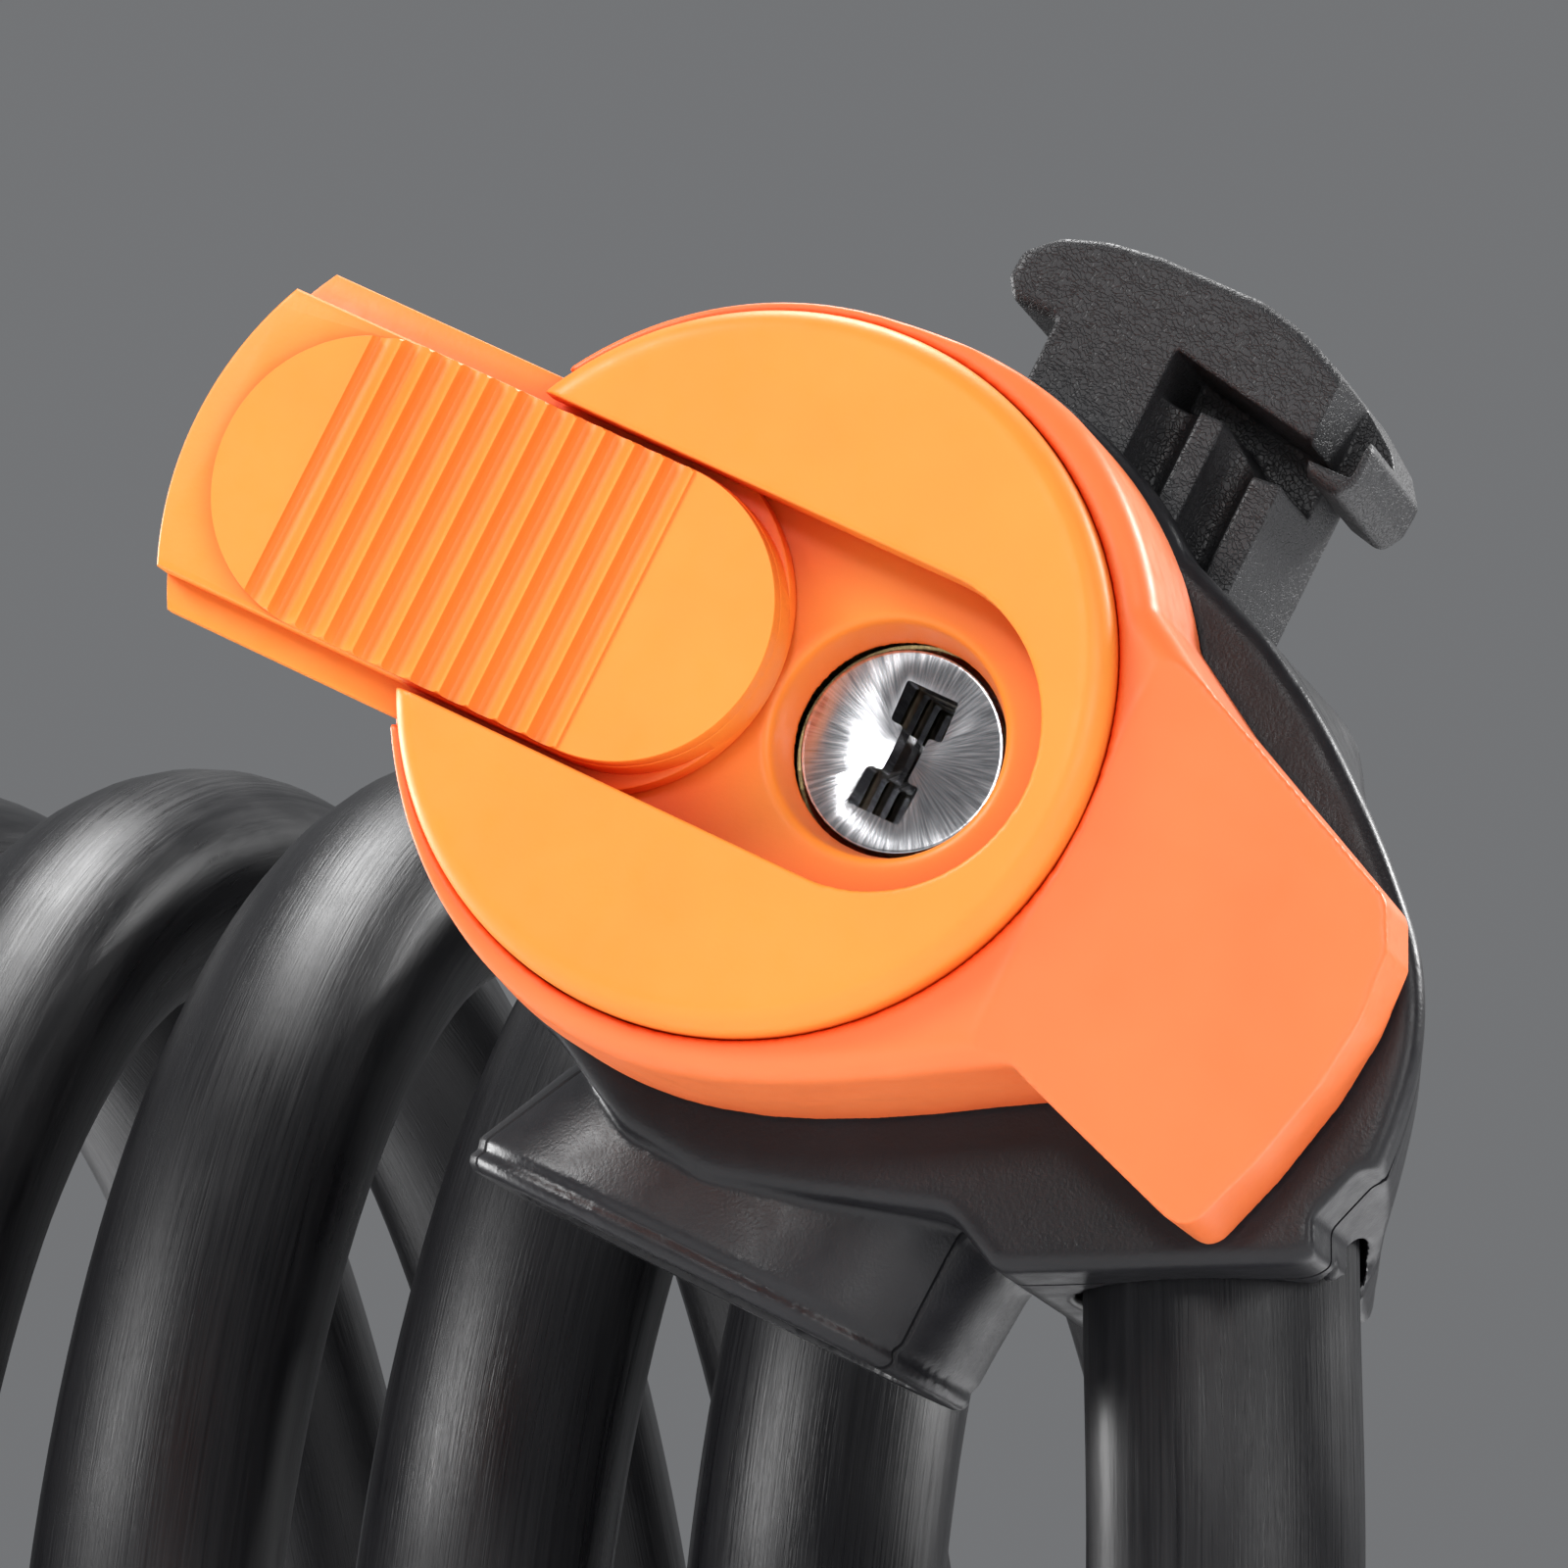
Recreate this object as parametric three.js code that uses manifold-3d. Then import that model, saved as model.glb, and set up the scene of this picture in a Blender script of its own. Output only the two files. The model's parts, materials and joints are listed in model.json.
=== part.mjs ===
// Key-operated coil cable lock: a round lock head with a sliding dust cover over the key cylinder,
// a plug socket in a skirt below it, a T-shaped bracket tab on top and a coiled 12 mm cable.
// Millimetres. The row's X runs right, Y away from the face, Z up; the origin is on the tab's crown.
// Inside the head group x runs along the dust cover's travel, y into the head, z towards the tab.
import * as THREE from 'three';
import { mergeGeometries, mergeVertices } from 'three/addons/utils/BufferGeometryUtils.js';
import Module from 'manifold-3d';

const wasm = await Module();
wasm.setup();

// ---- driving dimensions -------------------------------------------------------------------------
const GAP = 0.3;                         // clearance between touching pieces
const HEAD_TILT = THREE.MathUtils.degToRad(27.5);  // the head leans to the right about Y

const CROWN_TOP = 25.4, CROWN_X = 5.6, TAB_Y = [-2, 9], STEM_X = [0.1, 12.7];   // bracket tab, in head coordinates
const BODY_R = 17.6, BODY_FRONT = -6.2, BODY_BACK = 13, PARTING = -2.4;
const SHELL_R = 17.2, SHELL_TOP = -16.3, SHELL_BACK = -6.5;
const DISC_R = 15.6, DISC_TOP = -17.9, DISC_BACK = -11.9, FLOOR = -14.4;
const CHANNEL_W = 7.0, GROOVE_W = 8.4, CHANNEL_END = 6.4;
const TRAVEL = 12.2;                     // dust cover, open to closed
const KEY_X = 5.9, PLUG_R = 4.85, PLUG_FACE = -11.9, PLUG_BACK = 5.6;
const WAFERS = 5, WAFER_PITCH = 2.0;
const CRANK_R = 3.6;                     // cam pin's throw, also the bolt's travel
const SOCKET = { x: 7, y: 2.4, bore: 5.2, wall: 5.9, mouth: -23.6, floor: -9.4 };
const BOLT = { z0: -14.2, z1: -11.8, x0: -1, x1: 15, y0: -4, y1: 10.6 };
const CABLE_R = 6.0, CABLE_Y = 3.4, CHIN = [24.9, -14.3];  // cable axis at the chin's mouth (x, z)
// coil: turn radius, radius of the tighter first loop, and the near side's place relative to the disc centre
const COIL = { r: 56.9, first: 43, pitch: 16.2, x: 6.2, y: 28.1, z: -43.4, firstShift: -3,
  bulge: 6.5 };                          // the second turn's far side stands out to the right
const CABLE_LENGTH = 1800, LEAD_TO = 375, TAIL_ARC = 44;   // lead's end and tail's arc, degrees of the coil

// ---- small modelling kit ------------------------------------------------------------------------
function toSolid(geo) {
  const g = geo.clone();
  g.deleteAttribute('normal');
  g.deleteAttribute('uv');
  const m = mergeVertices(g, 1e-4);
  return new wasm.Manifold(new wasm.Mesh({
    numProp: 3,
    vertProperties: new Float32Array(m.attributes.position.array),
    triVerts: new Uint32Array(m.index.array),
  }));
}

function toGeometry(solid) {
  const mesh = solid.getMesh();
  const g = new THREE.BufferGeometry();
  g.setAttribute('position', new THREE.BufferAttribute(new Float32Array(mesh.vertProperties), 3));
  g.setIndex(new THREE.BufferAttribute(new Uint32Array(mesh.triVerts), 1));
  g.computeVertexNormals();
  return g;
}

const join = (...geos) => toGeometry(geos.map(toSolid).reduce((a, b) => a.add(b)));
const cut = (geo, ...tools) => toGeometry(tools.map(toSolid).reduce((a, b) => a.subtract(b), toSolid(geo)));
const common = (a, b) => toGeometry(toSolid(a).intersect(toSolid(b)));

function box(x0, x1, y0, y1, z0, z1) {
  return new THREE.BoxGeometry(x1 - x0, y1 - y0, z1 - z0)
    .translate((x0 + x1) / 2, (y0 + y1) / 2, (z0 + z1) / 2);
}

// cylinder along y (depth)
function rodY(x, z, r, y0, y1, sides = 32) {
  return new THREE.CylinderGeometry(r, r, y1 - y0, sides).translate(x, (y0 + y1) / 2, z);
}

// cylinder along z (the socket's direction)
function rodZ(x, y, r, z0, z1, sides = 32) {
  return new THREE.CylinderGeometry(r, r, z1 - z0, sides).rotateX(Math.PI / 2).translate(x, y, (z0 + z1) / 2);
}

// profile [[radius, y], ...] turned about an axis along y
function turned(profile, x, z, sides = 32) {
  const points = profile.map(([r, y]) => new THREE.Vector2(r, y));
  if (THREE.ShapeUtils.area(points) < 0) points.reverse();
  return new THREE.LatheGeometry(points, sides).translate(x, 0, z);
}

// outline [[x, z], ...] given thickness in y, with an optional rounded edge on both faces
function plate(outline, y0, y1, edge = 0, steps = 1) {
  const shape = new THREE.Shape(outline.map(([x, z]) => new THREE.Vector2(x, z)));
  const g = new THREE.ExtrudeGeometry(shape, {
    depth: y1 - y0 - 2 * edge, steps, bevelEnabled: edge > 0,
    bevelThickness: edge, bevelSize: edge, bevelOffset: -edge, bevelSegments: 2,
  });
  return g.rotateX(Math.PI / 2).translate(0, y1 - edge, 0);
}

function arc(cx, cz, r, from, to, n) {
  return Array.from({ length: n + 1 }, (_, i) => {
    const a = THREE.MathUtils.degToRad(from + (to - from) * i / n);
    return [cx + r * Math.cos(a), cz + r * Math.sin(a)];
  });
}

const stadium = (xa, xb, r, n = 10) => [...arc(xb, 0, r, -90, 90, n), ...arc(xa, 0, r, 90, 270, n)];

const group = new THREE.Group();
group.name = 'coil_cable_lock';
const head = new THREE.Group();
head.name = 'head';
head.rotation.y = HEAD_TILT;
const crown = new THREE.Vector3(CROWN_X, (TAB_Y[0] + TAB_Y[1]) / 2, CROWN_TOP);
head.position.copy(crown.clone().applyAxisAngle(new THREE.Vector3(0, 1, 0), HEAD_TILT).negate());
group.add(head);

const FINISH = {
  black: [0x1c1c1e, 0.55, 0], orange: [0xf2691c, 0.4, 0], disc: [0xf58a34, 0.42, 0],
  chrome: [0xd8dadd, 0.15, 1], brass: [0xb8974e, 0.35, 1], steel: [0x9a9ca0, 0.35, 1],
  zinc: [0x8c8e92, 0.5, 1], jacket: [0x17171a, 0.4, 0],
};
function add(parent, name, geo, finish) {
  const [color, roughness, metalness] = FINISH[finish];
  const mesh = new THREE.Mesh(geo, new THREE.MeshStandardMaterial({ color, roughness, metalness }));
  mesh.name = name;
  parent.add(mesh);
  return mesh;
}

// ---- black housing ------------------------------------------------------------------------------
const bodyOutline = [
  ...arc(0, 0, BODY_R, 47, 256, 28), [0.2, -19.3], [4.6, -19.7], [9.2, -18.4], [15.0, -16.5],
  [18.0, -17.9], [29.7, -11.9], [30.9, -10.6], [31.1, -9],
  [30.7, -1.8], [29.6, 0.7], [25.9, 4.7], [20.7, 9.1], [16.6, 11.2],
];

// draws the elbow in towards the back, so that its side wraps round the cable
function roundElbow(g) {
  const pos = g.attributes.position, c = Math.cos(HEAD_TILT), s = Math.sin(HEAD_TILT);
  for (let i = 0; i < pos.count; i++) {
    const y = pos.getY(i) - CABLE_Y;
    const over = Math.max(0, pos.getX(i) * c + pos.getZ(i) * s - 20.4);
    const pull = over * THREE.MathUtils.clamp(0.33 + (y < 0 ? 0.036 : 0.067) * y, 0.03, 0.9);
    pos.setX(i, pos.getX(i) - pull * c);
    pos.setZ(i, pos.getZ(i) - pull * s);
  }
  return g;
}

// skirt around the socket: oval rings that widen towards the mouth
function skirt() {
  // height, centre x, half width, half depth
  const rings = [[-8, 7.2, 10.3, 7.6], [-13, 7.2, 10.2, 8.0], [-18, 5.4, 11.3, 8.9], [-22.4, 4.2, 12.1, 9.6],
    [-23.6, 4.2, 11.8, 9.3]];
  const n = 36, cy = 3.4, power = 2 / 2.5;
  const pos = [], idx = [];
  for (const [z, cx, hx, hy] of rings) {
    for (let i = 0; i < n; i++) {
      const a = 2 * Math.PI * i / n, c = Math.cos(a), s = Math.sin(a);
      pos.push(cx + hx * Math.sign(c) * Math.abs(c) ** power, cy + hy * Math.sign(s) * Math.abs(s) ** power, z);
    }
  }
  pos.push(rings[0][1], cy, rings[0][0], rings.at(-1)[1], cy, rings.at(-1)[0]);
  const top = rings.length * n, end = top + 1, last = (rings.length - 1) * n;
  for (let i = 0; i < n; i++) {
    const j = (i + 1) % n;
    idx.push(top, i, j, end, last + j, last + i);
    for (let k = 0; k < rings.length - 1; k++) {
      const a = k * n + i, b = k * n + j;
      idx.push(a, a + n, b, b, a + n, b + n);
    }
  }
  const g = new THREE.BufferGeometry();
  g.setAttribute('position', new THREE.Float32BufferAttribute(pos, 3));
  g.setIndex(idx);
  return g;
}

// cylinder along the cable's axis inside the chin, from t0 to t1 above the mouth
function chinRod(r, t0, t1, sides = 28) {
  return new THREE.CylinderGeometry(r, r, t1 - t0, sides).rotateX(Math.PI / 2)
    .translate(0, 0, (t0 + t1) / 2).rotateY(-HEAD_TILT).translate(CHIN[0], CABLE_Y, CHIN[1]);
}
const chinPoint = (t) => [CHIN[0] - t * Math.sin(HEAD_TILT), CHIN[1] + t * Math.cos(HEAD_TILT)];

const SCREWS = [[-10.5, -7.5], [-10.5, 7.5], [18.6, 4.2]];
const ANCHOR_PIN_T = 12.2, ANCHOR_PIN_R = 1.5;
const mouthRecess = new THREE.CylinderGeometry(1, 1, 2.4, 36).rotateX(Math.PI / 2)
  .scale(10.0, 7.9, 1).translate(4.3, 3.4, SOCKET.mouth);
const hollow = [
  rodY(KEY_X, 0, 6.4 + GAP + 0.05, BODY_FRONT - 1, 6.3, 36),          // cylinder
  rodY(KEY_X, 0, 6.3, 6.0, 9.0, 36),                                  // cam
  box(KEY_X - 8.2, KEY_X + 4.6, 8.7, 11.1, BOLT.z0 - 0.4, 1.3),                     // bolt's fork
  box(-5.1, BOLT.x1 + GAP, BOLT.y0 - 0.4, 11.1, BOLT.z0 - 0.4, BOLT.z1 + 0.4),
  rodZ(SOCKET.x, SOCKET.y, SOCKET.wall + GAP, SOCKET.mouth - 1, -8.1, 36),
  mouthRecess,
  chinRod(CABLE_R + 0.4, -5, 9), chinRod(4.6, 8.5, 15.4),             // cable jacket, ferrule
  rodY(...chinPoint(ANCHOR_PIN_T), ANCHOR_PIN_R + GAP, -4.6, 11.6, 16),
  box(STEM_X[0] - GAP, STEM_X[1] + GAP, -1.3, 8.7, 10.2, 22),         // tab's foot
  ...SCREWS.flatMap(([x, z]) => [rodY(x, z, 1.5, -5, 11, 14), rodY(x, z, 2.7, 10, BODY_BACK + 1, 20)]),
];
const bodySolid = cut(join(roundElbow(plate(bodyOutline, BODY_FRONT, BODY_BACK, 1.5, 4)), skirt()), ...hollow);
const far = 60;
add(head, 'front_frame', common(bodySolid, box(-far, far, -far, PARTING - GAP / 2, -far, far)), 'black');
add(head, 'main_housing', common(bodySolid, box(-far, far, PARTING + GAP / 2, far, -far, far)), 'black');

SCREWS.forEach(([x, z], i) => add(head, `case_screw_${i + 1}`, turned(
  [[0, -4.7], [1.2, -4.7], [1.2, 10.3], [2.4, 10.3], [2.4, 11.9], [1.9, 12.4], [0, 12.4]], x, z, 14), 'steel'));

// ---- orange face --------------------------------------------------------------------------------
const shellOutline = [
  ...arc(0, 0, SHELL_R, 32, 298, 34),
  [12.6, -13.1], [15.6, -11.4], [17.4, -10.3], [25.8, -13.0], [26.9, -12.5], [28.0, -8.4],
  [28.8, -3], [28.5, 1.4], [27.6, 2.9], [18.2, 7.3],
];
// wedge-section ring that gives the round part of the shell its draft
function draftRing() {
  const n = 30, pos = [], idx = [];
  for (let i = 0; i <= n; i++) {
    const t = i / n, a = THREE.MathUtils.degToRad(58 + 232 * t), front = SHELL_R - 1.1 * Math.min(1, 6 * t, 6 * (1 - t));
    for (const [r, y] of [[front, -18], [front, SHELL_TOP - 0.1], [SHELL_R + 0.1, -9], [24, -9], [24, -18]]) {
      pos.push(r * Math.cos(a), y, r * Math.sin(a));
    }
  }
  const m = 5;
  for (let i = 0; i < n; i++) {
    for (let k = 0; k < m; k++) {
      const a = i * m + k, b = i * m + (k + 1) % m;
      idx.push(a, a + m, b, b, a + m, b + m);
    }
  }
  for (let k = 1; k < m - 1; k++) idx.push(0, k, k + 1, n * m, n * m + k + 1, n * m + k);
  const g = new THREE.BufferGeometry();
  g.setAttribute('position', new THREE.Float32BufferAttribute(pos, 3));
  g.setIndex(idx);
  return g;
}
const inner = shellOutline.map(([x, z]) => [x * 0.87 + 0.9, z * 0.87]);
const beakCut = plate([[15.6, -30], [40, -30], [40, 30], [15.6, 30]], SHELL_TOP - 12, SHELL_TOP)
  .translate(-15.6, -SHELL_TOP, 0).rotateZ(THREE.MathUtils.degToRad(21)).translate(15.6, SHELL_TOP, 0);
add(head, 'face_shell', cut(
  common(plate(shellOutline, SHELL_TOP, 0, 1.0), box(-far, far, -far, SHELL_BACK, -far, far)),
  beakCut, draftRing(),
  rodY(0, 0, DISC_R + 0.15, SHELL_TOP - 1, DISC_BACK + GAP, 48),
  plate(inner, -9.6, 0),
  rodY(KEY_X, 0, 6.4 + GAP, -14, -8, 36),
  box(-20, -8, SHELL_TOP - 1, FLOOR, -GROOVE_W, GROOVE_W),            // way out for the dust cover
), 'orange');

const openSlot = (w, end) => [[end, -w], ...arc(end, 0, w, -80, 80, 12), [end, w], [-30, w], [-30, -w]];
add(head, 'channel_disc', cut(
  turned([[0, DISC_BACK], [DISC_R - 0.15, DISC_BACK], [DISC_R - 0.15, DISC_TOP + 0.8],
    [DISC_R - 0.5, DISC_TOP + 0.2], [DISC_R - 1.1, DISC_TOP], [0, DISC_TOP]], 0, 0, 52),
  plate(openSlot(CHANNEL_W, CHANNEL_END), DISC_TOP - 1, FLOOR),
  plate(openSlot(GROOVE_W, CHANNEL_END - 0.4), FLOOR - 1.5, FLOOR),
  rodY(KEY_X, 0, 5.25, FLOOR - 1, DISC_BACK + 1, 36),
  turned([[0, FLOOR + 0.5], [5.2, FLOOR + 0.5], [5.9, FLOOR - 0.2], [0, FLOOR - 0.2]], KEY_X, 0, 36),
  box(-9.4, -1.6, FLOOR - 0.1, FLOOR + 1.1, -1.7, 1.7),
), 'disc');

const leaf = [[-9, -13.7], [-7.4, -13.9], [-5.5, -14.3], [-3.6, -13.9], [-2, -13.7],
  [-2, -13.4], [-3.6, -13.6], [-5.5, -14.0], [-7.4, -13.6], [-9, -13.4]];
add(head, 'cover_detent', new THREE.ExtrudeGeometry(
  new THREE.Shape(leaf.map(([x, y]) => new THREE.Vector2(x, y))),
  { depth: 2.6, bevelEnabled: false }).translate(0, 0, -1.3), 'steel');

// ---- dust cover, shown open ---------------------------------------------------------------------
function coverOutline(w, tip) {
  const a = THREE.MathUtils.radToDeg(Math.asin(w / DISC_R));
  return [...arc(tip - w, 0, w, -90, 90, 12), ...arc(-TRAVEL, 0, DISC_R, 180 - a, 180 + a, 10)];
}
function thumbPad() {
  const ribs = 11, pitch = 1.45, first = -21.3, crest = -17.9, valley = -17.35, smooth = -17.75;
  const profile = [[-26.5, -16.5], [-26.5, smooth], [first - 0.4, smooth]];
  for (let i = 0; i < ribs; i++) {
    const x = first + i * pitch;
    profile.push([x, valley], [x + 0.45, crest], [x + 0.95, crest], [x + 1.15, valley]);
  }
  profile.push([first + ribs * pitch, smooth], [1.5, smooth], [1.5, -16.5]);
  const ridges = new THREE.ExtrudeGeometry(
    new THREE.Shape(profile.map(([x, y]) => new THREE.Vector2(x, y))),
    { depth: 16, bevelEnabled: false }).translate(0, 0, -8);
  return common(ridges, plate(stadium(-19.4, -5.95, 6.5, 14), -19, -16));
}
add(head, 'dust_cover', join(
  plate(coverOutline(8.1, 0.5), -15.6, FLOOR - GAP),
  plate(coverOutline(6.7, 0.65), -17.0, -15.5),
  thumbPad(),
), 'disc');

// ---- key cylinder -------------------------------------------------------------------------------
add(head, 'cylinder_housing', turned([[5.1, -11.3], [6.4, -11.3], [6.4, PLUG_BACK], [5.1, PLUG_BACK],
  [5.1, -11.3]], KEY_X, 0, 36), 'brass');

const waferY = (i) => -9.4 + i * WAFER_PITCH;
const keyway = [
  box(KEY_X - 1.25, KEY_X + 1.25, PLUG_FACE - 1, 1, 0.95, 2.9),
  box(KEY_X - 1.25, KEY_X + 1.25, PLUG_FACE - 1, 1, -2.9, -0.95),
  box(KEY_X - 0.65, KEY_X + 0.65, PLUG_FACE - 1, 1, -1.2, 1.2),
];
add(head, 'key_plug', cut(
  turned([[0, PLUG_FACE + 0.5], [PLUG_R - 0.5, PLUG_FACE], [PLUG_R - 0.2, PLUG_FACE], [PLUG_R, PLUG_FACE + 0.2],
    [PLUG_R, PLUG_BACK], [2.6, PLUG_BACK], [2.6, 8.6], [0, 8.6]], KEY_X, 0, 36),
  ...keyway,
  ...Array.from({ length: WAFERS }, (_, i) =>
    box(KEY_X - 3.1, KEY_X + 3.1, waferY(i) - 0.6, waferY(i) + 0.6, -6, 6)),
), 'chrome');
for (let i = 0; i < WAFERS; i++) {
  const y = waferY(i);
  add(head, `wafer_${i + 1}`, cut(
    box(KEY_X - 2.8, KEY_X + 2.8, y - 0.3, y + 0.3, -3.7, 3.7),
    box(KEY_X - 1.6, KEY_X + 1.6, y - 1, y + 1, -3.05, 3.05),
  ), 'brass');
}
add(head, 'plug_clip', turned([[2.9, 5.9], [4.9, 5.9], [4.9, 6.5], [2.9, 6.5], [2.9, 5.9]], KEY_X, 0, 24), 'steel');
add(head, 'tail_cam', join(
  turned([[2.9, 6.8], [5.2, 6.8], [5.2, 8.4], [2.9, 8.4], [2.9, 6.8]], KEY_X, 0, 28),
  rodY(KEY_X, -CRANK_R, 0.9, 7.6, 10.9, 14),
), 'zinc');

// ---- latch and socket ---------------------------------------------------------------------------
const forkX = [KEY_X - 4.2, KEY_X + 4.2];
add(head, 'latch_bolt', cut(
  join(box(BOLT.x0, BOLT.x1, BOLT.y0, BOLT.y1, BOLT.z0, BOLT.z1), box(...forkX, 9, BOLT.y1, BOLT.z1 - 1, 0.8)),
  box(KEY_X - 2, KEY_X + 2, 8, 12, -8, 3),
  rodZ(SOCKET.x, SOCKET.y, 5.4, -16, -10, 28),
  rodZ(SOCKET.x + CRANK_R, SOCKET.y, 3.4, -16, -10, 24),
), 'steel');
add(head, 'socket_liner', new THREE.LatheGeometry([[SOCKET.bore, -22.1], [SOCKET.wall, -22.1],
  [SOCKET.wall, -14.9], [SOCKET.bore, -14.9], [SOCKET.bore, -22.1]].map(([r, z]) => new THREE.Vector2(r, z)), 32)
  .rotateX(Math.PI / 2).translate(SOCKET.x, SOCKET.y, 0), 'steel');
add(head, 'socket_cap', new THREE.LatheGeometry([[0, SOCKET.floor], [SOCKET.bore, SOCKET.floor],
  [SOCKET.bore, -11.1], [SOCKET.wall, -11.1], [SOCKET.wall, -8.4], [0, -8.4]]
  .map(([r, z]) => new THREE.Vector2(r, z)), 32).rotateX(Math.PI / 2).translate(SOCKET.x, SOCKET.y, 0), 'steel');

// ---- bracket tab --------------------------------------------------------------------------------
const crownOutline = [[-2.3, 21.0], [6, 21.9], [15.4, 21.0], [16.2, 21.5], [16.0, 22.3], [12.9, 24.0],
  [10.4, 24.9], [8.2, CROWN_TOP], [3.0, CROWN_TOP], [0.6, 25.1], [-1.5, 24.4], [-2.8, 23.2], [-2.9, 21.9]];
add(head, 'bracket_tab', cut(
  join(plate(crownOutline, ...TAB_Y), box(...STEM_X, -1, 8.4, 10.5, 22.5)),
  box(6.6, 8.5, -3, 4, 13.4, 20.0), box(9.5, 11.4, -3, 4, 12.4, 19.4),
  box(12.9, 14.6, -3, 2, 19, 26.5),
), 'black');

// ---- cable --------------------------------------------------------------------------------------
head.updateMatrixWorld(true);
const fromHead = (x, y, z) => new THREE.Vector3(x, y, z).applyMatrix4(head.matrixWorld);
const discCentre = fromHead(0, 0, 0);
const coilNear = new THREE.Vector3(COIL.x, COIL.y, COIL.z).add(discCentre);
const blend = (t) => THREE.MathUtils.smoothstep(t, 0, 1);
// point on the coil; 0 degrees is the near side, 90 the bottom, 270 the top, and each turn steps left
function helix(deg) {
  const a = THREE.MathUtils.degToRad(deg), r = THREE.MathUtils.lerp(COIL.first, COIL.r, blend((deg - 270) / 180));
  const bulge = COIL.bulge * blend(1 - Math.abs(deg - 578) / 140);
  const x = COIL.firstShift * (1 - blend((deg - 200) / 160)) + bulge - COIL.pitch * deg / 360;
  return coilNear.clone().add(new THREE.Vector3(x, r * (1 - Math.cos(a)), -r * Math.sin(a)));
}
function tube(points, steps, sides = 10) {
  const path = new THREE.CatmullRomCurve3(points, false, 'centripetal');
  const ring = arc(0, 0, CABLE_R, 0, 360, sides).slice(0, -1).map(([x, y]) => new THREE.Vector2(x, y));
  return new THREE.ExtrudeGeometry(new THREE.Shape(ring), { steps, bevelEnabled: false, extrudePath: path });
}
const [cx, cz] = chinPoint(8.6);
const inChin = fromHead(cx, CABLE_Y, cz), mouth = fromHead(CHIN[0], CABLE_Y, CHIN[1]);
const lead = [inChin, mouth, ...[[0, 0, -14], [-2.4, 5, -31.3], [-6.4, 18.2, -44.6], [-10.8, 36.4, -54.3]]
  .map((v) => mouth.clone().add(new THREE.Vector3(...v)))];
for (let a = 75; a <= LEAD_TO; a += 20) lead.push(helix(a));
add(group, 'cable_lead', tube(lead, 52), 'jacket');

const turn = Math.hypot(2 * Math.PI * COIL.r, COIL.pitch);
const leadLength = new THREE.CatmullRomCurve3(lead, false, 'centripetal').getLength();
const tailTo = LEAD_TO + 360 * (CABLE_LENGTH - leadLength) / turn, tailFrom = tailTo - TAIL_ARC;
const tail = [];
for (let i = 0; i <= 6; i++) tail.push(helix(tailFrom + TAIL_ARC * i / 6));
add(group, 'cable_tail', tube(tail, 5), 'jacket');

// the coil's turns, as one ring
const coilA = -COIL.pitch * LEAD_TO / 360 - CABLE_R - 0.5, coilB = -COIL.pitch * tailFrom / 360 + CABLE_R + 0.5;
const ringProfile = [[COIL.r - CABLE_R, coilB + 2], [COIL.r - CABLE_R + 2, coilB], [COIL.r + CABLE_R - 2, coilB],
  [COIL.r + CABLE_R, coilB + 2], [COIL.r + CABLE_R, coilA - 2], [COIL.r + CABLE_R - 2, coilA],
  [COIL.r - CABLE_R + 2, coilA], [COIL.r - CABLE_R, coilA - 2], [COIL.r - CABLE_R, coilB + 2]];
const ring = add(group, 'cable_coil', new THREE.LatheGeometry(
  ringProfile.map(([r, x]) => new THREE.Vector2(r, x)), 48).rotateZ(-Math.PI / 2), 'jacket');
ring.position.copy(coilNear).y += COIL.r;

// ferrule and cross pin inside the chin
add(head, 'fixed_ferrule', cut(chinRod(4.2, 9.2, 15, 24),
  rodY(...chinPoint(ANCHOR_PIN_T), ANCHOR_PIN_R + GAP, -4, 12, 16)), 'steel');
add(head, 'anchor_pin', rodY(...chinPoint(ANCHOR_PIN_T), ANCHOR_PIN_R, -4.3, 11.3, 16), 'steel');

// free end: boot, then the plug with its latch groove, in line with the cable's end
const endDir = helix(tailTo).sub(helix(tailTo - 2)).normalize();
function onCableEnd(name, profile, from, finish, sides) {
  const mesh = add(group, name, turned(profile, 0, 0, sides), finish);
  mesh.quaternion.setFromUnitVectors(new THREE.Vector3(0, 1, 0), endDir);
  mesh.position.copy(helix(tailTo)).addScaledVector(endDir, from);
}
onCableEnd('plug_boot', [[0, 0], [6.6, 0], [7.4, 1.2], [7.4, 9], [6.2, 13], [0, 13]], 2 * GAP, 'black', 28);
onCableEnd('latch_plug', [[0, 0], [4.9, 0], [4.9, 7.4], [3.0, 8.0], [3.0, 10.8], [4.9, 11.4],
  [4.9, 12.6], [3.4, 14.4], [0, 14.4]], 3 * GAP + 13, 'steel', 28);

export default group;
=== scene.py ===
"""Coil cable lock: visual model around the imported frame.

Lengths are in mm in the head's own coordinates and are placed in the row's metres.
"""
import json
import math

import bmesh
import bpy
from mathutils import Matrix, Vector


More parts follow.
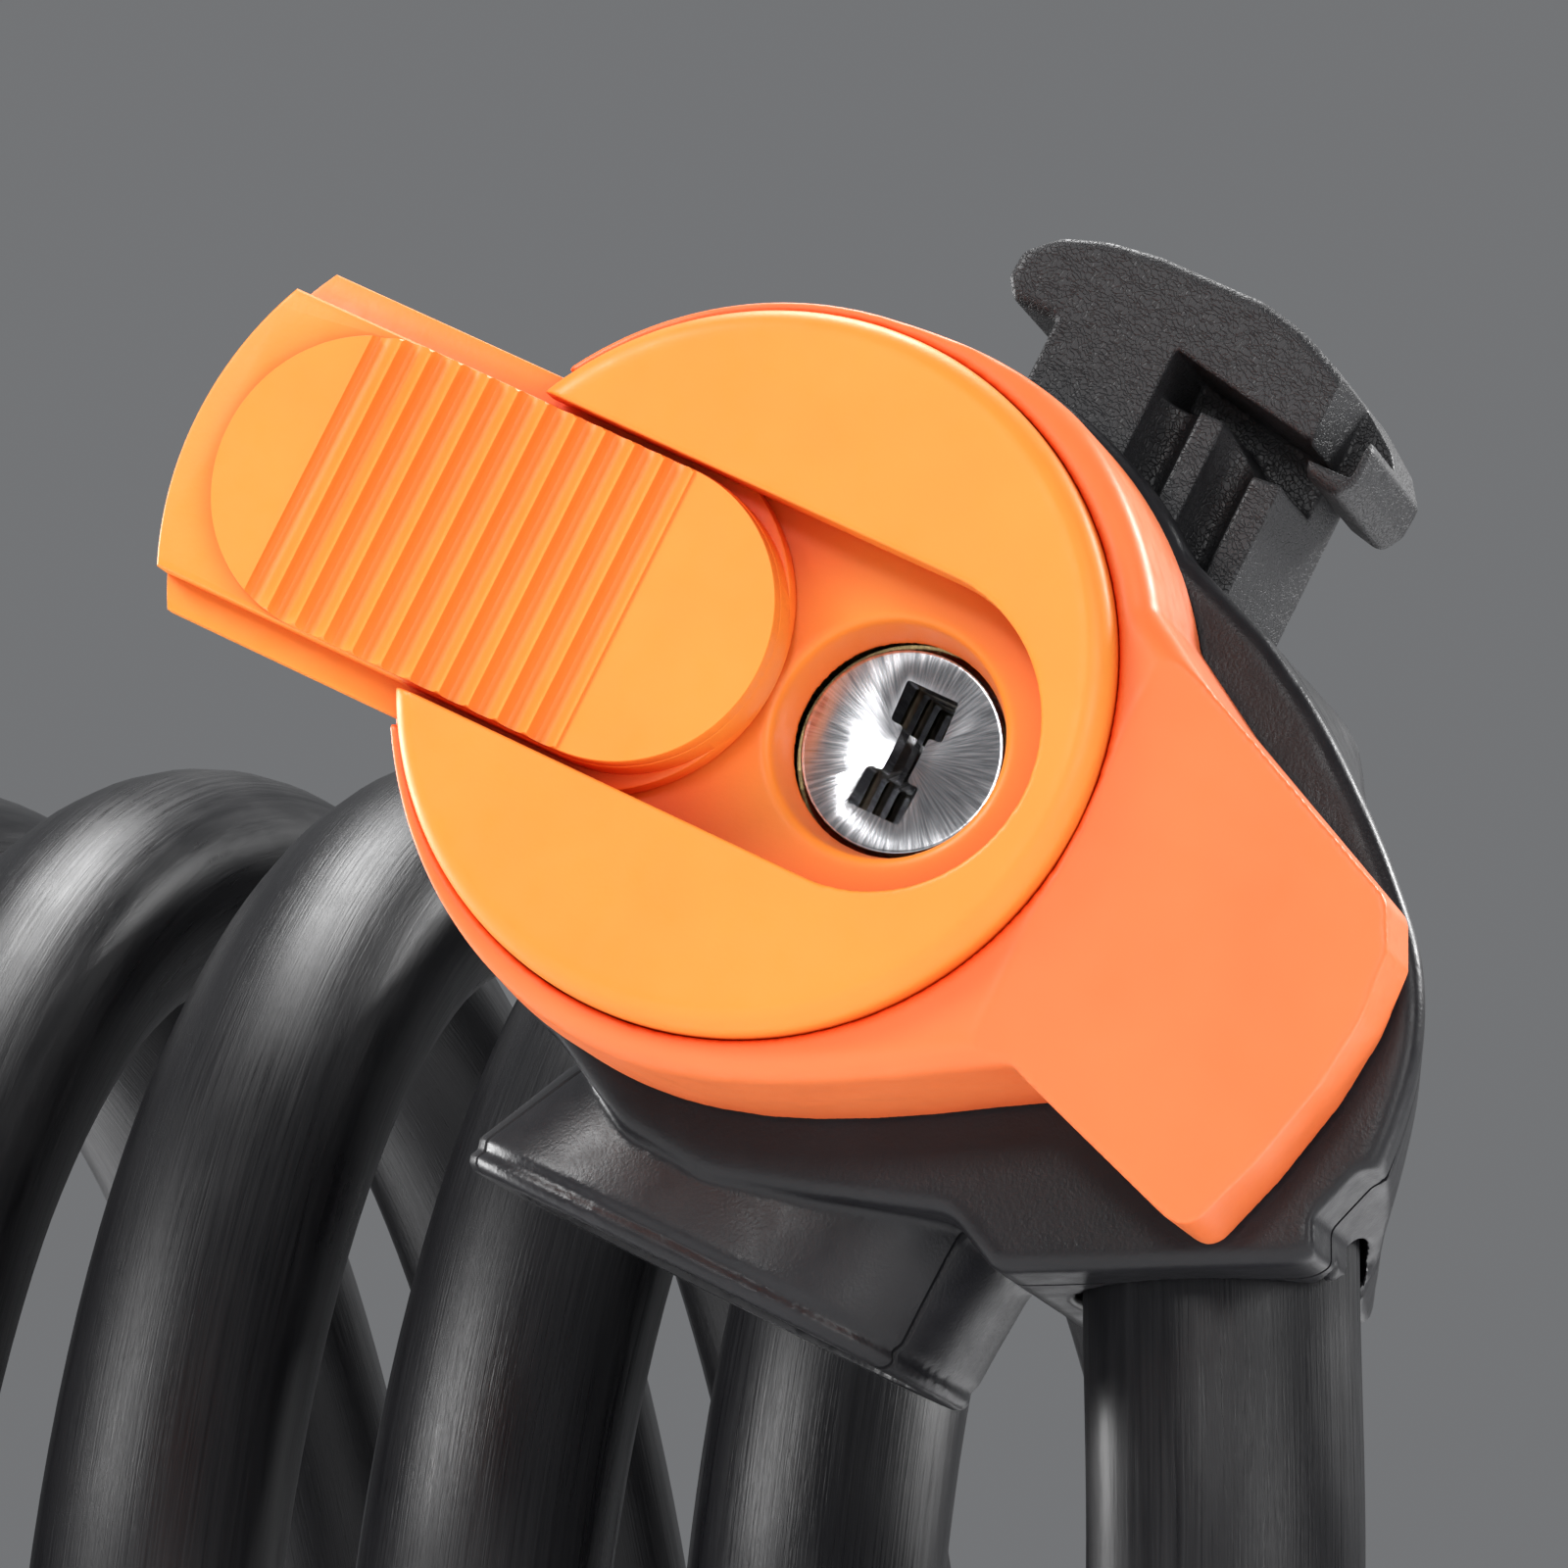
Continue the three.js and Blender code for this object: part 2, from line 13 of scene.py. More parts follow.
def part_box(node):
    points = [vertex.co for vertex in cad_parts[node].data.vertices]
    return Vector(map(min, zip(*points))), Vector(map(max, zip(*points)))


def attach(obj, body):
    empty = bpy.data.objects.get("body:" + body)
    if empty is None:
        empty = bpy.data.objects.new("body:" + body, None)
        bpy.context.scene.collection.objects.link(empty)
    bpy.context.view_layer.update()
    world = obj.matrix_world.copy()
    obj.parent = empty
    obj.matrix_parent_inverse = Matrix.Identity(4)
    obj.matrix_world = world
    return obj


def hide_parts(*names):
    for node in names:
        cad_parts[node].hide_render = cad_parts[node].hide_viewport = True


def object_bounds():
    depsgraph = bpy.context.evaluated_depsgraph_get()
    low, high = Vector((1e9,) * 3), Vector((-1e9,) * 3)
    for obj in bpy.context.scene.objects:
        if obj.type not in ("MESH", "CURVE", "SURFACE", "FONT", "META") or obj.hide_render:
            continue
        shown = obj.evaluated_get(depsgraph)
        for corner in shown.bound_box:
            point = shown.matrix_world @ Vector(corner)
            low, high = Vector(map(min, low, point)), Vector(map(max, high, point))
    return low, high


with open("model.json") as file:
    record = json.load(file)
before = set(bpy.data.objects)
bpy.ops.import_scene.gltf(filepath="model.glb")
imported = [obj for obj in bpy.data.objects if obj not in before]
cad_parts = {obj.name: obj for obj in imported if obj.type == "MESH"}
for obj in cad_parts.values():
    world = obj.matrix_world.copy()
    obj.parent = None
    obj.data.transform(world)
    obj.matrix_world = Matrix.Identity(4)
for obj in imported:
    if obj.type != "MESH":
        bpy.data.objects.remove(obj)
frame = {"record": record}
CAD_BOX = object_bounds()
MM = 0.001

# ---- head coordinates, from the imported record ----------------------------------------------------
# x runs along the dust cover's travel, y into the head, z towards the tab
KEY_X, DISC_TOP = 5.9, -17.9
joints = {j["name"]: j for j in frame["record"]["behaviour"]["joints"]}
EX = Vector(joints["cover_slide"]["axis"]).normalized()
EY = Vector((0, 1, 0))
EZ = EX.cross(EY)
key_pos = Vector(joints["key_turn"]["pos_m"])
ORIGIN = Vector((key_pos.x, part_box("channel_disc")[0][1] - DISC_TOP * MM, key_pos.z)) - EX * KEY_X * MM
HEAD = Matrix.Translation(ORIGIN) @ Matrix((EX * MM, EY * MM, EZ * MM)).transposed().to_4x4()
TILT = math.atan2(-EX.z, EX.x)


def in_head(x, y, z):
    return HEAD @ Vector((x, y, z))


# ---- camera --------------------------------------------------------------------------------------
AZ, EL, DISTANCE, VIEW_WIDTH, SENSOR = math.radians(15), math.radians(-12.5), 0.36, 0.06555, 36
toward = Vector((math.sin(AZ) * math.cos(EL), -math.cos(AZ) * math.cos(EL), math.sin(EL)))
right = Vector((math.cos(AZ), math.sin(AZ), 0))
up = right.cross(-toward)
aim = in_head(0, DISC_TOP, 0) + right * 0.00164 - up * 0.005
camera = bpy.data.objects.new("camera", bpy.data.cameras.new("camera"))
bpy.context.scene.collection.objects.link(camera)
camera.data.sensor_width = SENSOR
camera.data.lens = SENSOR * DISTANCE / VIEW_WIDTH
camera.data.clip_start, camera.data.clip_end = 0.01, 20
camera.location = aim + toward * DISTANCE
camera.rotation_mode = "QUATERNION"
camera.rotation_quaternion = (-toward).to_track_quat("-Z", "Y")
bpy.context.scene.camera = camera


# ---- node materials ------------------------------------------------------------------------------
class Mat:
    """A Principled material whose textures are laid out in millimetres of the object's own space."""

    def __init__(self, name, **values):
        self.m = bpy.data.materials.new(name)
        self.m.use_nodes = True
        self.t = self.m.node_tree
        self.p = self.t.nodes["Principled BSDF"]
        for key, value in values.items():
            self.p.inputs[key.replace("_", " ")].default_value = value
        self.co = self.node("ShaderNodeTexCoord").outputs["Object"]
        self.mm = self.mapped((1000, 1000, 1000))

    def node(self, kind, **settings):
        n = self.t.nodes.new(kind)
        for key, value in settings.items():
            setattr(n, key, value)
        return n

    def link(self, a, b):
        self.t.links.new(a, b)

    def mapped(self, scale, source=None):
        n = self.node("ShaderNodeMapping")
        n.inputs["Scale"].default_value = scale
        self.link(source or self.co, n.inputs["Vector"])
        return n.outputs["Vector"]

    def noise(self, scale, detail=3, source=None, rough=0.55):
        n = self.node("ShaderNodeTexNoise")
        n.inputs["Scale"].default_value = scale
        n.inputs["Detail"].default_value = detail
        n.inputs["Roughness"].default_value = rough
        self.link(source or self.mm, n.inputs["Vector"])
        return n.outputs["Fac"]

    def ramp(self, fac, stops):
        n = self.node("ShaderNodeValToRGB")
        while len(n.color_ramp.elements) < len(stops):
            n.color_ramp.elements.new(0.5)
        for e, (pos, colour) in zip(n.color_ramp.elements, stops):
            e.position = pos
            e.color = colour if len(colour) == 4 else (*colour, 1)
        self.link(fac, n.inputs["Fac"])
        return n.outputs["Color"]

    def span(self, fac, lo, hi, a, b):
        n = self.node("ShaderNodeMapRange")
        for key, value in (("From Min", lo), ("From Max", hi), ("To Min", a), ("To Max", b)):
            n.inputs[key].default_value = value
        self.link(fac, n.inputs["Value"])
        return n.outputs["Result"]

    def math(self, op, a, b=None):
        n = self.node("ShaderNodeMath", operation=op)
        for i, v in enumerate((a, b)):
            if v is None:
                continue
            if isinstance(v, (int, float)):
                n.inputs[i].default_value = v
            else:
                self.link(v, n.inputs[i])
        return n.outputs[0]

    def colour(self, c):
        self.link(c, self.p.inputs["Base Color"])

    def roughness(self, r):
        self.link(r, self.p.inputs["Roughness"])

    def bump(self, *layers):
        """layers of (height, distance in mm, strength), the last on top"""
        normal = None
        for height, distance, strength in layers:
            n = self.node("ShaderNodeBump")
            n.inputs["Distance"].default_value = distance * MM
            n.inputs["Strength"].default_value = strength
            self.link(height, n.inputs["Height"])
            if normal is not None:
                self.link(normal, n.inputs["Normal"])
            normal = n.outputs["Normal"]
        self.link(normal, self.p.inputs["Normal"])
        return self.m


def moulded(name, dark, light, rough, grain, grain_mm, painted_recess_shade=None, **values):
    """Moulded plastic: slight colour drift, varying gloss, a fine grain, and painted shade: a deeper, redder
    colour in the recesses that ambient occlusion finds.
    """
    m = Mat(name, **values)
    colour = m.ramp(m.noise(0.12, 2), [(0.35, dark), (0.65, light)])
    # painted shade: where ambient occlusion finds a recess, the colour is mixed towards the
    # painted_recess_shade colour
    if painted_recess_shade:
        shade = m.node("ShaderNodeAmbientOcclusion", samples=8, only_local=False)
        shade.inputs["Distance"].default_value = 4 * MM
        mix = m.node("ShaderNodeMix", data_type="RGBA")
        mix.inputs[6].default_value = (*painted_recess_shade, 1)
        m.link(m.span(shade.outputs["AO"], 0.2, 0.95, 0, 1), mix.inputs[0])
        m.link(colour, mix.inputs[7])
        colour = mix.outputs[2]
    m.colour(colour)
    m.roughness(m.span(m.noise(0.9, 4), 0.3, 0.7, rough - 0.05, rough + 0.07))
    return m.bump((m.noise(0.35, 2), 0.05, 0.25), (m.noise(1 / grain_mm, 2), grain, 0.5))


# painted shade: the deep red given to the orange face and shell colours their recesses
ORANGE = moulded("orange face", (0.9, 0.275, 0.035), (0.92, 0.295, 0.04), 0.42, 0.012, 0.22,
                 painted_recess_shade=(0.82, 0.075, 0.004), Specular_IOR_Level=0.4)
SHELL = moulded("orange shell", (0.9, 0.19, 0.05), (0.92, 0.21, 0.058), 0.4, 0.008, 0.22,
                painted_recess_shade=(0.84, 0.075, 0.008), Specular_IOR_Level=0.4)
BLACK = moulded("black housing", (0.009, 0.009, 0.0105), (0.014, 0.014, 0.0165), 0.36, 0.03, 0.16,
                Specular_IOR_Level=0.32)


def leather():
    m = Mat("grained black", Specular_IOR_Level=0.5)
    v = m.node("ShaderNodeTexVoronoi", feature="DISTANCE_TO_EDGE")
    v.inputs["Scale"].default_value = 4.2
    warped = m.node("ShaderNodeVectorMath", operation="ADD")
    n = m.node("ShaderNodeTexNoise")
    n.inputs["Scale"].default_value = 1.1
    m.link(m.mm, n.inputs["Vector"])
    m.link(m.mm, warped.inputs[0])
    m.link(n.outputs["Color"], warped.inputs[1])
    m.link(warped.outputs[0], v.inputs["Vector"])
    edge = m.span(v.outputs["Distance"], 0, 0.12, 0, 1)
    m.colour(m.ramp(edge, [(0.0, (0.006, 0.006, 0.007)), (0.8, (0.018, 0.018, 0.02))]))
    m.roughness(m.span(edge, 0, 1, 0.62, 0.45))
    return m.bump((edge, 0.035, 0.7))


LEATHER = leather()


def metal(name, colour, rough, streak=(0.2, 0.2, 6)):
    m = Mat(name, Metallic=1.0)
    lines = m.noise(1.6, 3, m.mapped(tuple(1000 * s for s in streak)))
    m.colour(m.ramp(lines, [(0.3, tuple(0.86 * c for c in colour)), (0.7, colour)]))
    m.roughness(m.span(lines, 0.3, 0.7, rough - 0.06, rough + 0.1))
    return m.bump((lines, 0.01, 0.3))


STEEL = metal("machined steel", (0.62, 0.63, 0.65), 0.3)
ZINC = metal("die-cast zinc", (0.5, 0.5, 0.52), 0.42, (1, 1, 1))
BRASS = metal("machined brass", (0.78, 0.58, 0.26), 0.28)
# painted shade: brass darkened nearly to black for the wafers, standing in for the shade inside the keyway
KEYWAY_SHADE_BRASS = metal("brass darkened as keyway shade", (0.16, 0.12, 0.06), 0.4)


def turned_chrome():
    """Chrome of a turned and polished cone, with fine radial lines in its bump and gloss and radial streaks of
    painted highlight in its colour.
    """
    m = Mat("turned chrome", Metallic=1.0, Anisotropic=0.7)
    at = m.node("ShaderNodeVectorMath", operation="SUBTRACT")
    m.link(m.co, at.inputs[0])
    at.inputs[1].default_value = in_head(KEY_X, 0, 0)
    xyz = m.node("ShaderNodeSeparateXYZ")
    m.link(at.outputs[0], xyz.inputs[0])
    angle = m.math("ARCTAN2", xyz.outputs["Z"], xyz.outputs["X"])
    squares = [m.math("MULTIPLY", xyz.outputs[a], xyz.outputs[a]) for a in "XZ"]
    radius = m.math("SQRT", m.math("ADD", *squares))
    polar = m.node("ShaderNodeCombineXYZ")
    m.link(m.math("MULTIPLY", angle, 14), polar.inputs["X"])
    m.link(m.math("MULTIPLY", radius, 260), polar.inputs["Y"])
    radial_lines_and_painted_streaks = m.noise(2.2, 4, polar.outputs[0])
    grooves = m.node("ShaderNodeVectorMath", operation="CROSS_PRODUCT")
    m.link(at.outputs[0], grooves.inputs[0])
    grooves.inputs[1].default_value = (0, 1, 0)
    m.link(grooves.outputs[0], m.p.inputs["Tangent"])
    # painted highlight: light and dark radial streaks in the colour stand in for the fanned reflection of the
    # turned face
    m.colour(m.ramp(radial_lines_and_painted_streaks, [(0.3, (0.42, 0.43, 0.45)), (0.65, (0.72, 0.72, 0.74))]))
    m.roughness(m.span(radial_lines_and_painted_streaks, 0.3, 0.7, 0.16, 0.26))
    return m.bump((radial_lines_and_painted_streaks, 0.01, 0.25))


CHROME = turned_chrome()


def jacket():
    """Semi-gloss PVC, with scuffs and streaks that run along the cable."""
    m = Mat("cable jacket", Specular_IOR_Level=0.3)
    lay = m.node("ShaderNodeAttribute", attribute_name="lay").outputs["Vector"]
    streaks = m.noise(1.0, 5, m.mapped((60, 9, 1), lay))
    fine = m.noise(1.0, 3, m.mapped((260, 46, 1), lay))
    patches = m.noise(0.07, 3)
    m.colour(m.ramp(streaks, [(0.25, (0.004, 0.004, 0.005)), (0.75, (0.012, 0.012, 0.0135))]))
    m.roughness(m.math("ADD", m.span(streaks, 0.3, 0.7, 0.26, 0.4), m.span(patches, 0.35, 0.65, -0.04, 0.08)))
    return m.bump((patches, 0.4, 0.2), (streaks, 0.05, 0.5), (fine, 0.02, 0.4))


JACKET = jacket()


# ---- mesh kit: solids in head millimetres ---------------------------------------------------------
def from_bmesh(bm, name="solid"):
    mesh = bpy.data.meshes.new(name)
    bmesh.ops.recalc_face_normals(bm, faces=bm.faces)
    bm.to_mesh(mesh)
    bm.free()
    o = bpy.data.objects.new(name, mesh)
    bpy.context.scene.collection.objects.link(o)
    return o


def skin(rings, closed_ends=True, loop=False):
    """A solid from rings of points, each ring closed."""
    bm = bmesh.new()
    rows = [[bm.verts.new(p) for p in ring] for ring in rings]
    n = len(rows[0])
    pairs = list(zip(rows, rows[1:])) + ([(rows[-1], rows[0])] if loop else [])
    for a, b in pairs:
        for i in range(n):
            j = (i + 1) % n
            bm.faces.new((a[i], a[j], b[j], b[i]))
    if closed_ends and not loop:
        bm.faces.new(rows[0])
        bm.faces.new(list(reversed(rows[-1])))
    return from_bmesh(bm)


def plate(outline, y0, y1, front=0.0, back=0.0, segments=4):
    """Outline in (x, z) given thickness in y, with rounded front and back edges."""
    bm = bmesh.new()
    a = [bm.verts.new((x, y0, z)) for x, z in outline]
    b = [bm.verts.new((x, y1, z)) for x, z in outline]
    n = len(a)
    bm.faces.new(a)
    bm.faces.new(list(reversed(b)))
    for i in range(n):
        bm.faces.new((a[i], b[i], b[(i + 1) % n], a[(i + 1) % n]))
    bmesh.ops.recalc_face_normals(bm, faces=bm.faces)
    for level, size in ((y0, front), (y1, back)):
        if size:
            edges = [e for e in bm.edges if all(abs(v.co.y - level) < 1e-6 for v in e.verts)]
            bmesh.ops.bevel(bm, geom=edges, offset=size, segments=segments, profile=0.5, affect="EDGES",
                            clamp_overlap=False)
    return from_bmesh(bm)


def turned(profile, place=lambda x, y, z: (x, y, z), sides=96, closed=False):
    """Profile of (radius, height) turned about y; closed profiles make rings."""
    rings = []
    for k in range(sides):
        c, s = math.cos(2 * math.pi * k / sides), math.sin(2 * math.pi * k / sides)
        rings.append([place(r * c, h, r * s) for r, h in profile])
    bm = bmesh.new()
    rows = [[bm.verts.new(p) for p in ring] for ring in rings]
    m = len(profile)
    for k in range(sides):
        a, b = rows[k], rows[(k + 1) % sides]
        for i in range(m if closed else m - 1):
            j = (i + 1) % m
            bm.faces.new((a[i], a[j], b[j], b[i]))
    if not closed:
        bmesh.ops.remove_doubles(bm, verts=bm.verts, dist=1e-5)
        bmesh.ops.dissolve_degenerate(bm, edges=bm.edges, dist=1e-6)
    return from_bmesh(bm)


def rod_y(x, z, r, y0, y1, sides=72):
    return turned([(0, y0), (r, y0), (r, y1), (0, y1)], lambda a, b, c: (x + a, b, z + c), sides)


def rod_z(x, y, r, z0, z1, sides=72):
    return turned([(0, z0), (r, z0), (r, z1), (0, z1)], lambda a, b, c: (x + a, y + c, b), sides)


def block(x0, x1, y0, y1, z0, z1):
    return plate([(x0, z0), (x1, z0), (x1, z1), (x0, z1)], y0, y1)


def arc(cx, cz, r, start, end, n):
    return [(cx + r * math.cos(math.radians(start + (end - start) * i / n)),
             cz + r * math.sin(math.radians(start + (end - start) * i / n))) for i in range(n + 1)]


def filleted(points, n=8):
    """Rounds each corner given as (x, z, radius); plain (x, z) points stay."""
    out = []
    for i, p in enumerate(points):
        if len(p) == 2:
            out.append(tuple(p))
            continue
        v = Vector(p[:2])
        a = (Vector(points[i - 1][:2]) - v)
        b = (Vector(points[(i + 1) % len(points)][:2]) - v)
        half = a.angle(b) / 2
        reach = min(p[2] / math.tan(half), a.length * 0.49, b.length * 0.49)
        a, b = v + a.normalized() * reach, v + b.normalized() * reach
        for k in range(n + 1):
            t = k / n
            q = a * (1 - t) ** 2 + v * (2 * t * (1 - t)) + b * t * t
            out.append((q.x, q.y))
    return out


def apply(o):
    dg = bpy.context.evaluated_depsgraph_get()
    mesh = bpy.data.meshes.new_from_object(o.evaluated_get(dg))
    o.modifiers.clear()
    old, o.data = o.data, mesh
    bpy.data.meshes.remove(old)
    return o


def boolean(o, operation, *tools):
    for tool in tools:
        m = o.modifiers.new("b", "BOOLEAN")
        m.operation, m.object, m.solver = operation, tool, "MANIFOLD"
        apply(o)
        bpy.data.objects.remove(tool)
    return o


def cut(o, *tools):
    return boolean(o, "DIFFERENCE", *tools)


def join(o, *others):
    return boolean(o, "UNION", *others)


def copy(o):
    c = o.copy()
    c.data = o.data.copy()
    bpy.context.scene.collection.objects.link(c)
    return c


def soften(o, voxel, rounds, keep):
    """Gives every edge the small radius of a moulding."""
    m = o.modifiers.new("r", "REMESH")
    m.mode, m.voxel_size, m.adaptivity = "VOXEL", voxel * 1, 0
    s = o.modifiers.new("s", "SMOOTH")
    s.factor, s.iterations = 0.5, rounds
    if keep < 1:
        d = o.modifiers.new("d", "DECIMATE")
        d.ratio = keep
    return keep_largest(apply(o))


def keep_largest(o):
    """Drops the specks that remeshing leaves beside a solid."""
    bm = bmesh.new()
    bm.from_mesh(o.data)
    bm.verts.ensure_lookup_table()
    seen, islands = set(), []
    for v in bm.verts:
        if v in seen:
            continue
        island, queue = [], [v]
        seen.add(v)
        while queue:
            w = queue.pop()
            island.append(w)
            for e in w.link_edges:
                x = e.other_vert(w)
                if x not in seen:
                    seen.add(x)
                    queue.append(x)
        islands.append(island)
    islands.sort(key=len)
    bmesh.ops.delete(bm, geom=[v for island in islands[:-1] for v in island], context="VERTS")
    bm.to_mesh(o.data)
    bm.free()
    return o


def piece(o, name, material, slot, body, *replaced, matrix=HEAD, angle=None):
    """Places a solid in the row, names it, parents it to the body it rides on and hides the CAD nodes it stands
    for.
    """
    if matrix is not None:
        o.data.transform(matrix)
    o.name = o.data.name = name
    o.data.materials.clear()
    o.data.materials.append(material)
    o.data.shade_smooth()
    if angle is not None:
        o.data.set_sharp_from_angle(angle=math.radians(angle))
    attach(o, body)
    if replaced:
        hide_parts(*replaced)
    return o


# ---- cable ---------------------------------------------------------------------------------------
CABLE_R, CABLE_Y, CHIN, LENGTH = 6.0, 3.4, (24.9, -14.3), 1.8
COIL_R, FIRST_R, PITCH, FIRST_SHIFT, BULGE = 56.9, 43.0, 16.2, -3.0, 6.5
coil_near = in_head(0, 0, 0) + Vector((6.2, 28.1, -43.4)) * MM


def blend(t):
    t = min(1, max(0, t))
    return t * t * (3 - 2 * t)


def helix(degrees):
    """0 degrees is the coil's near side, 90 the bottom, 270 the top; each turn steps left."""
    a = math.radians(degrees)
    r = FIRST_R + (COIL_R - FIRST_R) * blend((degrees - 270) / 180)
    bulge = BULGE * blend(1 - abs(degrees - 578) / 140)
    x = FIRST_SHIFT * (1 - blend((degrees - 200) / 160)) + bulge - PITCH * degrees / 360
    return coil_near + Vector((x, r * (1 - math.cos(a)), -r * math.sin(a))) * MM


def chin_point(t):
    return in_head(CHIN[0] - t * math.sin(TILT), CABLE_Y, CHIN[1] + t * math.cos(TILT))


def catmull(points, per):
    """Smooth curve through the points, centripetal."""
    pts = [points[0] * 2 - points[1]] + list(points) + [points[-1] * 2 - points[-2]]
    out = []
    for p0, p1, p2, p3 in zip(pts, pts[1:], pts[2:], pts[3:]):
        t0 = 0
        t1 = t0 + (p1 - p0).length ** 0.5
        t2 = t1 + (p2 - p1).length ** 0.5
        t3 = t2 + (p3 - p2).length ** 0.5
        for k in range(per):
            t = t1 + (t2 - t1) * k / per
            a1 = p0 * ((t1 - t) / (t1 - t0)) + p1 * ((t - t0) / (t1 - t0))
            a2 = p1 * ((t2 - t) / (t2 - t1)) + p2 * ((t - t1) / (t2 - t1))
            a3 = p2 * ((t3 - t) / (t3 - t2)) + p3 * ((t - t2) / (t3 - t2))
            b1 = a1 * ((t2 - t) / (t2 - t0)) + a2 * ((t - t0) / (t2 - t0))
            b2 = a2 * ((t3 - t) / (t3 - t1)) + a3 * ((t - t1) / (t3 - t1))
            out.append(b1 * ((t2 - t) / (t2 - t1)) + b2 * ((t - t1) / (t2 - t1)))
    return out + [points[-1]]


def along(points):
    return sum((b - a).length for a, b in zip(points, points[1:]))


mouth = chin_point(0)
lead = [chin_point(8.6), mouth] + [mouth + Vector(v) * MM for v in (
    (0, 0, -14), (-2.4, 5, -31.3), (-6.4, 18.2, -44.6), (-10.8, 36.4, -54.3))]
LEAD_TO = 375
lead += [helix(a) for a in range(75, LEAD_TO + 1, 20)]
route = catmull(lead, 8)
TURN = math.hypot(2 * math.pi * COIL_R, PITCH) * MM
END = LEAD_TO + 360 * (LENGTH - along(route)) / TURN
STEP = 2.4
steps = int((END - LEAD_TO) / STEP)
route += [helix(LEAD_TO + (END - LEAD_TO) * (i + 1) / steps) for i in range(steps)]


def tube(points, radius, sides=28):
    """A round tube along the points; its lay (distance along, angle round) is kept for the material."""
    bm = bmesh.new()
    lay = bm.verts.layers.float_vector.new("lay")
    tangent = (points[1] - points[0]).normalized()
    normal = tangent.orthogonal().normalized()
    rows, done = [], 0.0
    for i, p in enumerate(points):
        q = points[min(i + 1, len(points) - 1)] - points[max(i - 1, 0)]
        new = q.normalized()
        normal.rotate(tangent.rotation_difference(new))
        tangent = new
        normal = (normal - tangent * normal.dot(tangent)).normalized()
        side = tangent.cross(normal)
        if i:
            done += (p - points[i - 1]).length
        row = []
        for k in range(sides):
            a = 2 * math.pi * k / sides
            v = bm.verts.new(p + (normal * math.cos(a) + side * math.sin(a)) * radius)
            v[lay] = (math.cos(a), done * 12, math.sin(a))
            row.append(v)
        rows.append(row)
    for a, b in zip(rows, rows[1:]):
        for k in range(sides):
            j = (k + 1) % sides
            bm.faces.new((a[k], a[j], b[j], b[k]))
    bm.faces.new(rows[0])
    bm.faces.new(list(reversed(rows[-1])))
    return from_bmesh(bm)


cable = piece(tube(route, CABLE_R * MM), "cable", JACKET, "cable_jacket", "lock_body",
              "cable_lead", "cable_coil", "cable_tail", matrix=None, angle=60)

end_dir = (helix(END) - helix(END - 2)).normalized()
end_turn = Vector((0, 1, 0)).rotation_difference(end_dir).to_matrix().to_4x4()


def on_cable_end(profile, offset):
    o = turned(profile, sides=64)
    place = Matrix.Translation(helix(END) + end_dir * offset * MM)
    o.data.transform(place @ end_turn @ Matrix.Scale(MM, 4))
    return o


BOOT_AT, TIP_AT = 0.6, 13.9
boot_profile = [
    (0, 0), (6.2, 0), (6.6, 0.3), (7.2, 1.0), (7.4, 1.6), (7.4, 3.0), (7.0, 3.3), (7.0, 4.1), (7.4, 4.4),
    (7.4, 5.6), (7.0, 5.9), (7.0, 6.7), (7.4, 7.0), (7.4, 9), (7.2, 9.8), (6.4, 12.4),
    (6.0, 12.9), (5.6, 13), (0, 13)]
boot = piece(on_cable_end(boot_profile, BOOT_AT),
             "boot", BLACK, "black_plastic", "lock_body", "plug_boot", matrix=None, angle=40)
tip_profile = [
    (0, 0), (4.8, 0), (4.9, 0.1), (4.9, 7.3), (4.7, 7.5), (3.1, 8.0), (3.0, 8.2), (3.0, 10.6), (3.1, 10.8),
    (4.7, 11.3), (4.9, 11.5), (4.9, 12.5), (4.7, 13.0), (3.6, 14.2), (3.2, 14.4), (0, 14.4)]
tip = piece(on_cable_end(tip_profile, TIP_AT),
            "latch_tip", STEEL, "steel", "lock_body", "latch_plug", matrix=None, angle=40)

# ---- black housing -------------------------------------------------------------------------------
BODY_FRONT, BODY_BACK, PARTING, GAP = -6.2, 13.0, -2.4, 0.3
BOLT = (-1, 15, -4, 10.6, -14.2, -11.8)        # x, y and z limits of the latch bolt
elbow_points = ((31.1, -8.8), (31.0, -5.2), (30.3, -1.4), (28.7, 1.8),
                (26.0, 4.7), (22.8, 7.4), (19.6, 9.7), (16.2, 11.6))
elbow = catmull([Vector((x, z, 0)) for x, z in elbow_points], 5)
body_outline = filleted(arc(0, 0, 17.6, 50, 256, 84) + [
    (0.2, -19.3, 3), (4.6, -19.7, 4), (9.2, -18.4, 6), (15.0, -16.5, 2), (18.0, -17.9, 1.2),
    (30.0, -11.9, 2.6)] + [(v.x, v.y) for v in elbow])


def skirt():
    """Oval rings (height, centre x, half width, half depth) that flare to a lipped mouth."""
    knots = ((-7, 7.2, 10.2, 7.5), (-13, 7.2, 10.2, 8.0), (-15.5, 6.3, 10.7, 8.4), (-18, 5.4, 11.2, 8.9),
             (-20.5, 4.7, 11.7, 9.3), (-22.3, 4.2, 12.1, 9.6), (-22.5, 4.2, 11.9, 9.4),
             (-22.8, 4.2, 11.9, 9.4), (-23.0, 4.2, 12.1, 9.6), (-23.4, 4.2, 12.0, 9.5), (-23.6, 4.2, 11.7, 9.2))
    sides, squareness = 120, 2.5
    unit = []
    for i in range(sides):
        a = math.tau * i / sides
        unit.append([math.copysign(abs(v) ** (2 / squareness), v) for v in (math.cos(a), math.sin(a))])
    return skin([[(cx + hx * u, CABLE_Y + hy * v, z) for u, v in unit] for z, cx, hx, hy in knots])


